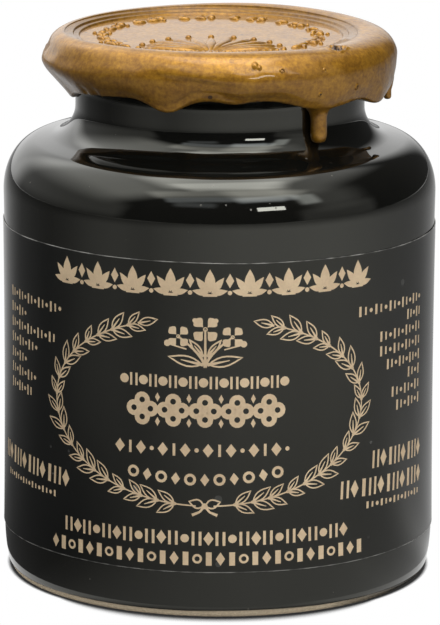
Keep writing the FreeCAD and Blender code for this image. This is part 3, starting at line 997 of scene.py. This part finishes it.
for drip in DRIPS:
    fuse(sealing_wax, make_drip(*drip))
at = points_of(sealing_wax.data) / MM
at_angle = np.degrees(np.arctan2(at[:, 0], -at[:, 1]))
hem = hem_height(at_angle)
outer_half = ramp(np.hypot(at[:, 0], at[:, 1]), 26.9, 28.0)
melt = np.zeros(len(at))
for angle, from_axis, top_z, bottom_z, half_width in DRIPS:
    sideways = np.abs((at_angle - angle + 180) % 360 - 180) * np.radians(1) * from_axis
    near = (1 - ramp(sideways, half_width * 1.7, half_width * 2.9)) * ramp(at[:, 2], hem - 2.6, hem - 0.9)
    melt = np.maximum(melt, near * (1 - ramp(at[:, 2], hem + 0.9, hem + 2.0)) * outer_half)
relax(sealing_wax.data, melt)
sealing_wax.data.shade_smooth()
print("wax with drips:", len(sealing_wax.data.vertices), "points")

# %% [markdown]
# Blisters are bubbles that came to the surface as the wax set. Some stayed as a low dome, some opened and
# left a ring round a hole that is painted dark as shade, and one sits on the face of the front drip. Each is
# a small mound that stands on the skin and faces the way the skin does.

# %% Raise the blisters
BLISTERS = [
    (11.2, 99.9, 0.85, 0.30, 0.0),
    (12.9, 99.5, 0.6, 0.25, 0.0),
    (20.3, 98.9, 0.62, 0.34, 0.42),
    (35.2, 98.3, 0.5, 0.22, 0.26),
    (49.7, 94.3, 0.75, 0.36, 0.5),
    (34.2, 94.0, 0.6, 0.24, 0.2),
    (-100.0, 97.0, 0.6, 0.25, 0.3),
    (130.0, 98.2, 0.75, 0.3, 0.0),
    (-150.0, 96.0, 0.55, 0.22, 0.3),
]
BLISTER_RINGS, BLISTER_SIDES = 12, 20
normals = skin_normals(skin)


def skin_spot(angle, height):
    """The skin's point and normal nearest to an angle and a height, on its outer side."""
    column = int(round(angle / 360 * WAX_COLUMNS)) % WAX_COLUMNS
    rows = np.arange(8, 96)
    row = rows[np.argmin(np.abs(skin[rows, column, 2] - height))]
    return skin[row, column], normals[row, column]


def blister_points(spot, normal, radius, height, dip):
    """Rings of a mound with an optional hole in its middle, and how much painted shade each point gets there.
    """
    upright = np.cross(normal, [0, 0, 1.0])
    upright /= np.linalg.norm(upright)
    other = np.cross(normal, upright)
    phase = float(spot[0] * 1.3 + spot[2] * 2.1)
    points, hole_shade = [], []
    for share in np.linspace(1.0, 0.06, BLISTER_RINGS):
        lift = height * (1 - share**2) ** 1.5 - dip * math.exp(-((share / 0.36) ** 4)) - 0.05 * share
        for k in range(BLISTER_SIDES):
            t = k * math.tau / BLISTER_SIDES
            wobble = radius * share * (1 + 0.06 * math.sin(2 * t + phase))
            points.append(spot + (math.cos(t) * upright + math.sin(t) * other) * wobble + normal * lift)
            # The hole's share of painted shade, strongest at its middle.
            hole_shade.append(math.exp(-((share / 0.42) ** 4)) if dip else 0.0)
    return points, hole_shade


drip_face = place(1.0, 0.0, 4.0)
drip_pit = place(28.15, 86.6, 39.3) + drip_face * 1.5 - drip_face * 0.02
mounds = [(*skin_spot(angle, height), radius, raised, dip) for angle, height, radius, raised, dip in BLISTERS]
mounds.append((drip_pit, drip_face, 0.5, 0.1, 0.3))
mound_points, mound_hole_shade, faces = [], [], []
for mound in mounds:
    first = len(mound_points)
    faces += lattice_faces(BLISTER_RINGS, BLISTER_SIDES, first=first)
    faces.append(cap(first + (BLISTER_RINGS - 1) * BLISTER_SIDES, BLISTER_SIDES))
    points, hole_shade = blister_points(*mound)
    mound_points += points
    mound_hole_shade += hole_shade
wax_blisters = piece_from("wax_blisters", mound_points, faces)
mark(wax_blisters, "painted_hollow_shade", mound_hole_shade)
print("blisters:", len(mounds))

# %% [markdown]
# Inside the burst bubble and the open blisters the wax is painted nearly black as shade, and the seal's
# stepped edge gets a lighter painted shade. `painted_hollow_shade` marks those points. It is worked out from
# where each point is, so it doesn't matter that the Boolean renumbered them.

# %% Mark painted shade in the burst bubble and on the seal's steps
at = points_of(sealing_wax.data) / MM
# Painted shade inside the burst bubble.
inside = (1 - ramp(from_crater(at)[0], 1.35, 1.6)) * (at[:, 2] > 98.8)
from_seal = np.hypot(at[:, 0] - SEAL_X, at[:, 1])
# Painted shade on the seal's stepped wall, a little over a third of the full dark.
shaded_stepped_edge = ramp(from_seal, 24.0, 24.4) * (1 - ramp(from_seal, 27.0, 27.8)) * (at[:, 2] > 99.8)
mark(sealing_wax, "painted_hollow_shade", np.maximum(inside, 0.36 * shaded_stepped_edge))

# %% [markdown]
# ## The seal's relief
# A stamp leaves low, soft-edged shapes. The pattern here is plain ornament: a scallop shell over rows of
# beads, and a ring of leaves and berries round it. Every shape is a pillow, which is its outline on the bed,
# three smaller copies of it higher up, and a crown point.

# %% Press the relief
RING_R = 20.2
SHELL_Y = -17.2
PILLOW_RINGS = [(1.0, -0.06), (0.9, 0.34), (0.68, 0.78), (0.36, 0.97)]
relief_points, relief_faces = [], []


def pillow(points, height):
    """A low rounded shape on the seal's bed, from its outline seen from above (x to the right, y back)."""
    points = np.asarray(points, dtype=float)
    middle = points.mean(axis=0)
    first, count = len(relief_points), len(points)
    for scale, rise in PILLOW_RINGS:
        ring = middle + (points - middle) * scale
        relief_points.extend([(SEAL_X + x, y, SEAL_BED_Z + height * rise) for x, y in ring])
    relief_points.append((SEAL_X + middle[0], middle[1], SEAL_BED_Z + height))
    relief_faces.extend(lattice_faces(len(PILLOW_RINGS), count, first=first))
    top = first + len(PILLOW_RINGS) * count
    relief_faces.extend([(top - count + k, top - count + (k + 1) % count, top) for k in range(count)])


def bead(x, y, radius, height, count=10):
    pillow(circle(x, y, radius, count), height)


def seal_leaf(x, y, length, width, lean, height):
    pillow(turned_points(leaf_points(length, width, count=6), x, y, lean), height)


for number in range(27):
    angle = -121 + number * 242 / 26
    x, y = RING_R * sin_of(angle), RING_R * cos_of(angle)
    if number % 3 == 1:
        bead(x, y, 0.85, 0.62, 12)
        bead(x * 1.07, y * 1.07, 0.45, 0.4, 8)
        bead(x * 0.93, y * 0.93, 0.45, 0.4, 8)
    else:
        for lean in (62, 118):
            seal_leaf(x * 0.985, y * 0.985, 2.5, 1.15, angle + lean, 0.5)

for number in range(11):
    lean = -76 + number * 15.2
    length = 11.2 + 2.6 * cos_of(lean * 1.1)
    seal_leaf(*beside(0.0, SHELL_Y, 1.5, lean), length, 2.25, lean, 0.72)
    bead(*beside(0.0, SHELL_Y, length + 2.1, lean), 0.62, 0.5)
for number in range(23):
    x = -13.2 + number * 1.2
    bead(x, SHELL_Y - 1.9 + x * x / 62, 0.52, 0.6)
for number in range(19):
    x = -10.8 + number * 1.2
    bead(x, SHELL_Y - 0.45 + x * x / 70, 0.34, 0.42, 8)
for hand in HANDS:
    for number in range(4):
        x, y = hand * (14.5 + number * 1.25), SHELL_Y + 4.6 + number * 2.4
        seal_leaf(x, y, 2.9, 1.2, hand * (52 - number * 6), 0.5)
seal_relief = piece_from("seal_relief", relief_points, relief_faces)
print("seal relief:", len(relief_faces), "faces")

# %% [markdown]
# ## Bronze sealing wax
# The wax is brown, crowded with bronze powder, under a skin that set smooth. So the shader is partly metal,
# which gives the broad golden light of the powder, and has a clear coat on top for the sharp, whitish
# reflections of wax. The powder isn't spread evenly: clouds make it richer or browner, and a fine grain
# makes it sparkle.

# %% Bronze wax material
def make_bronze_wax():
    material, tree = new_material("bronze sealing wax")
    powder = pattern(tree, FINE_GRAIN, Scale=1300.0, High=0.85)
    mixed = calculate(tree, "ADD", pattern(tree, SLOW_CLOUDS, Scale=210.0, High=0.35), powder)
    specks = pattern(tree, DUST_SPECKS, Scale=520.0, Share=0.12, Size=0.26)

    bronze = blend_colours(tree, mixed, (0.49, 0.242, 0.018), (0.23, 0.098, 0.006))
    flecked = blend_colours(tree, specks, bronze, (0.07, 0.03, 0.007))
    # Painted shade: the marked hollows and the seal's stepped edge turn towards nearly black.
    colour = blend_colours(tree, marked(tree, "painted_hollow_shade"), flecked, (0.022, 0.008, 0.002))
    rough = pattern(tree, FINE_GRAIN, Scale=900.0, Low=0.42, High=0.54)
    lumps = pattern(tree, SLOW_CLOUDS, Scale=420.0)
    relief = calculate(tree, "ADD", lumps, calculate(tree, "MULTIPLY", powder, 0.5))
    wax = {"Base Color": colour, "Roughness": rough, "Metallic": 0.6, "IOR": 1.4}
    wax |= {"Coat Weight": 0.55, "Coat Roughness": 0.07, "Coat IOR": 1.5}
    show_surface(tree, wax, relief, 0.35, 0.00004)
    return material


BRONZE_WAX = make_bronze_wax()
finish_piece(sealing_wax, BRONZE_WAX, "bronze_wax", "wax_cap")
finish_piece(seal_relief, BRONZE_WAX, "bronze_wax")
finish_piece(wax_blisters, BRONZE_WAX, "bronze_wax")

# %% [markdown]
# ## The studio
# A black shiny jar shows little of itself and a great deal of the room. So the room is designed: soft
# overhead panels, a window strip, a pale backdrop and a dim front. The panels are drawn straight into the
# world's light. Each is a soft-edged rectangle seen in a direction, made by one node group that divides the
# direction's sideways and upward parts by its forward part.

# %% Build the light panels
WHITE, WARM, COOL = (1.0, 1.0, 1.0), (1.0, 0.99, 0.97), (0.92, 0.98, 1.08)
# Each panel: the way it lies (degrees from the front, degrees up), half width and half height as slopes,
# softness of its edge, strength, and tint.
PANELS = [
    ("overhead sheet", 0, 88, 0.36, 0.36, 0.12, 3.3, WHITE),
    ("overhead softbox", 18, 77, 0.34, 0.20, 0.07, 2.5, WHITE),
    ("overhead front", 6, 57, 0.66, 0.13, 0.09, 1.9, WARM),
    ("front softbox, right", 29, 54, 0.23, 0.22, 0.10, 1.9, WARM),
    ("cool window strip", 4, 43, 0.54, 0.085, 0.05, 1.25, COOL),
    ("window, right part", 30, 41, 0.26, 0.09, 0.05, 1.9, COOL),
    ("window, far right", 53, 33, 0.09, 0.15, 0.05, 2.4, (0.96, 1.0, 1.03)),
    ("window, lower left", -14, 31, 0.18, 0.07, 0.05, 0.6, COOL),
    ("left softbox", -104, 54, 0.85, 0.40, 0.32, 1.8, WHITE),
    ("left wall", -100, 15, 1.05, 0.26, 0.18, 0.34, WHITE),
    ("right glow", 68, 30, 0.26, 0.28, 0.20, 0.5, WHITE),
    ("right wall, low", 67, 7, 0.42, 0.16, 0.08, 0.26, WHITE),
    ("right wall, high", 104, 63, 0.62, 0.25, 0.18, 0.95, WHITE),
    ("backdrop", -166, 18, 0.52, 0.48, 0.25, 1.15, WHITE),
]
ROOM_GLOOM = 0.045
NEARLY_SIDEWAYS = 0.02


def vector_sum(tree, operation, a, b):
    made = node(tree, "ShaderNodeVectorMath", {0: a, 1: b}, operation=operation)
    return made.outputs["Value" if operation == "DOT_PRODUCT" else "Vector"]


def build_soft_panel():
    group = bpy.data.node_groups.new("soft panel", "ShaderNodeTree")
    for kind, labels in (
        ("NodeSocketVector", ("Direction", "Forward", "Right", "Up")),
        ("NodeSocketFloat", ("Half Width", "Half Height", "Softness", "Strength")),
    ):
        for label in labels:
            group.interface.new_socket(label, in_out="INPUT", socket_type=kind)
    group.interface.new_socket("Light", in_out="OUTPUT", socket_type="NodeSocketFloat")
    given = node(group, "NodeGroupInput").outputs

    forward = vector_sum(group, "DOT_PRODUCT", given["Direction"], given["Forward"])
    light = calculate(group, "GREATER_THAN", forward, NEARLY_SIDEWAYS)
    safe = calculate(group, "MAXIMUM", forward, NEARLY_SIDEWAYS)
    for axis, half in (("Right", "Half Width"), ("Up", "Half Height")):
        part = vector_sum(group, "DOT_PRODUCT", given["Direction"], given[axis])
        away = calculate(group, "ABSOLUTE", calculate(group, "DIVIDE", part, safe))
        inner = calculate(group, "SUBTRACT", given[half], given["Softness"])
        outer = calculate(group, "ADD", given[half], given["Softness"])
        edge = map_range(group, away, 1.0, 0.0, inner, outer, interpolation_type="SMOOTHSTEP")
        light = calculate(group, "MULTIPLY", light, edge)
    node(group, "NodeGroupOutput", {"Light": calculate(group, "MULTIPLY", light, given["Strength"])})
    return group


def studio_direction(around, up):
    return Vector((sin_of(around) * cos_of(up), -cos_of(around) * cos_of(up), sin_of(up)))


def make_studio_light():
    world = bpy.data.worlds.new("studio")
    world.use_nodes = True
    bpy.context.scene.world = world
    tree = world.node_tree
    tree.nodes.clear()
    soft_panel = build_soft_panel()
    where = node(tree, "ShaderNodeTexCoord").outputs["Generated"]
    gloom = node(tree, "ShaderNodeRGB")
    gloom.outputs[0].default_value = (ROOM_GLOOM, ROOM_GLOOM, ROOM_GLOOM, 1.0)
    total = gloom.outputs[0]
    for name, around, up, wide, tall, soft, strength, tint in PANELS:
        forward, right = studio_direction(around, up), studio_direction(around + 90, 0)
        upward = forward.cross(right)
        if upward.z < 0:
            upward = -upward
        inputs = {"Direction": where, "Forward": forward, "Right": right, "Up": upward}
        inputs |= {"Half Width": wide, "Half Height": tall, "Softness": soft, "Strength": strength}
        panel = node(tree, "ShaderNodeGroup", inputs, node_tree=soft_panel, label=name)
        scaled = {0: tint, "Scale": panel.outputs["Light"]}
        tinted = node(tree, "ShaderNodeVectorMath", scaled, operation="SCALE").outputs[0]
        total = vector_sum(tree, "ADD", total, tinted)
    lit = node(tree, "ShaderNodeBackground", {"Color": total, "Strength": 1.0})
    plain = node(tree, "ShaderNodeBackground", {"Color": (1.0, 1.0, 1.0, 1.0), "Strength": 1.0})
    path = node(tree, "ShaderNodeLightPath").outputs
    seen = calculate(tree, "MAXIMUM", path["Is Camera Ray"], path["Is Transmission Ray"])
    show(tree, mix_shaders(tree, seen, lit, plain), "ShaderNodeOutputWorld")
    print("studio panels:", len(PANELS))


make_studio_light()

# %% [markdown]
# The floor is pale and plain. Looked at directly or in a reflection it is simply white, with a painted
# contact shadow where the foot comes close to it, which an Ambient Occlusion node measures and which reaches
# farther in front of the jar. For all other light it is ordinary matt paint. A grey cloth lies on it out of
# view, which keeps the black glaze dark. It is darkest on the left and thins out smoothly towards the right.
# A small bright card stands to the right for one lively glint. The camera doesn't see either of them.

# %% Lay the floor and set up the cards
FLOOR_GREY, CLOTH_GREY = (0.48, 0.48, 0.48, 1.0), (0.03, 0.03, 0.03, 1.0)
FLOOR = 3.0
CLOTH_HEIGHT = 0.3
CORNERS = ((-1, -1), (1, -1), (1, 1), (-1, 1))
# How bright the cloth leaves the floor at each angle from the front, close to the jar and far from it.
STOPS = (
    -180, -157, -142, -127, -97, -82, -67, -52, -37, -22, -7,
    10, 55, 67, 82, 97, 112, 127, 142, 157, 180,
)
FAR = (
    0.7, 0.6, 0.33, 0.12, 0.07, 0.16, 0.34, 0.44, 0.38, 0.56, 0.74,
    0.88, 0.94, 0.86, 0.7, 0.5, 0.35, 0.28, 0.36, 0.44, 0.6,
)
NEAR = (
    0.5, 0.4, 0.2, 0.08, 0.04, 0.04, 0.04, 0.12, 0.28, 0.42, 0.52,
    0.6, 0.6, 0.5, 0.45, 0.7, 0.5, 0.5, 0.5, 0.5, 0.5,
)


def make_floor_material():
    material, tree = new_material("pale floor")
    matt = node(tree, "ShaderNodeBsdfDiffuse", {"Color": FLOOR_GREY})
    spot = node(tree, "ShaderNodeNewGeometry").outputs["Position"]
    depth = node(tree, "ShaderNodeSeparateXYZ", {"Vector": spot}).outputs["Y"]
    reach = map_range(tree, depth, 0.0042, 0.0012, -0.040, -0.027)
    closeness = node(tree, "ShaderNodeAmbientOcclusion", {"Distance": reach}, samples=16)
    # Painted contact shadow: ambient occlusion darkens the white that the camera and reflections see.
    shade = map_range(tree, closeness.outputs["AO"], 0.03, 1.0, 0.52, 0.90)
    white_with_painted_shadow = node(tree, "ShaderNodeEmission", {"Strength": shade})
    path = node(tree, "ShaderNodeLightPath").outputs
    direct = calculate(tree, "MAXIMUM", path["Is Camera Ray"], path["Is Glossy Ray"])
    seen = calculate(tree, "MAXIMUM", direct, path["Is Transmission Ray"])
    show(tree, mix_shaders(tree, seen, matt, white_with_painted_shadow))
    return material


def make_cloth_material():
    """Dark cloth that lets the floor show through where the attribute `cover` is low."""
    material, tree = new_material("dark cloth")
    cloth = node(tree, "ShaderNodeBsdfDiffuse", {"Color": CLOTH_GREY})
    gap = node(tree, "ShaderNodeBsdfTransparent")
    show(tree, mix_shaders(tree, marked(tree, "cover"), gap, cloth))
    return material


def make_glow_material():
    material, tree = new_material("bright card")
    show(tree, node(tree, "ShaderNodeEmission", {"Strength": 11.0}))
    return material


def make_card(name, corners, faces, material, camera_sees=False):
    """A flat thing of the studio. What the camera doesn't see casts no shadow either."""
    mesh = bpy.data.meshes.new(name)
    mesh.from_pydata(corners, [], faces)
    mesh.materials.append(material)
    card = add_object(name, mesh)
    card.visible_camera = card.visible_shadow = camera_sees
    return card


def grey_cover(around, distance):
    """How much the grey cloth hides the floor."""
    outward = ramp(distance, 70, 240)
    bright = np.interp(around, STOPS, NEAR) * (1 - outward) + np.interp(around, STOPS, FAR) * outward
    return 1 - bright * np.interp(distance, (0, 400, 600, 1000, 2900), (1, 1, 0.75, 0.5, 0.2))


make_card("floor", [(a * FLOOR, b * FLOOR, 0) for a, b in CORNERS], [cap(0, 4)], make_floor_material(), True)

turns = np.arange(-180, 181, 5)
stretches = ((41.5, 100, 12), (125, 1100, 36), (1250, 2900, 10))
reach = np.concatenate([np.linspace(*stretch) for stretch in stretches])
grid = [tuple(place(d, CLOTH_HEIGHT, a) * MM) for d in reach for a in turns]
faces = lattice_faces(len(reach), len(turns), closed_round=False)
grey_cloth = make_card("grey_cloth", grid, faces, make_cloth_material())
mark(grey_cloth, "cover", [grey_cover(a, d) for d in reach for a in turns])

side, over = studio_direction(118, 0) * 0.12, Vector((0, 0, 0.055))
middle = studio_direction(28, 21) * 0.95 + Vector((0, 0, 0.085))
glow_corners = [middle + side * a + over * b for a, b in CORNERS]
make_card("bright_card", glow_corners, [cap(0, 4)], make_glow_material())
print("floor and cards are in place")

# %% [markdown]
# ## The camera
# A long lens, a little above the jar and looking slightly down on it, so the seal shows as a thin ellipse.

# %% Place the camera
lens = bpy.data.cameras.new("camera")
lens.lens = 286.4
lens.sensor_width = 36.0
lens.clip_end = 20.0
camera = add_object("camera", lens)
tilt = Matrix.Rotation(math.radians(77.16), 4, "X") @ Matrix.Rotation(0.005, 4, "Z")
camera.matrix_world = Matrix.Translation((0.0002, -0.9037, 0.2537)) @ tilt
bpy.context.scene.camera = camera
bpy.context.scene.view_settings.view_transform = "Standard"
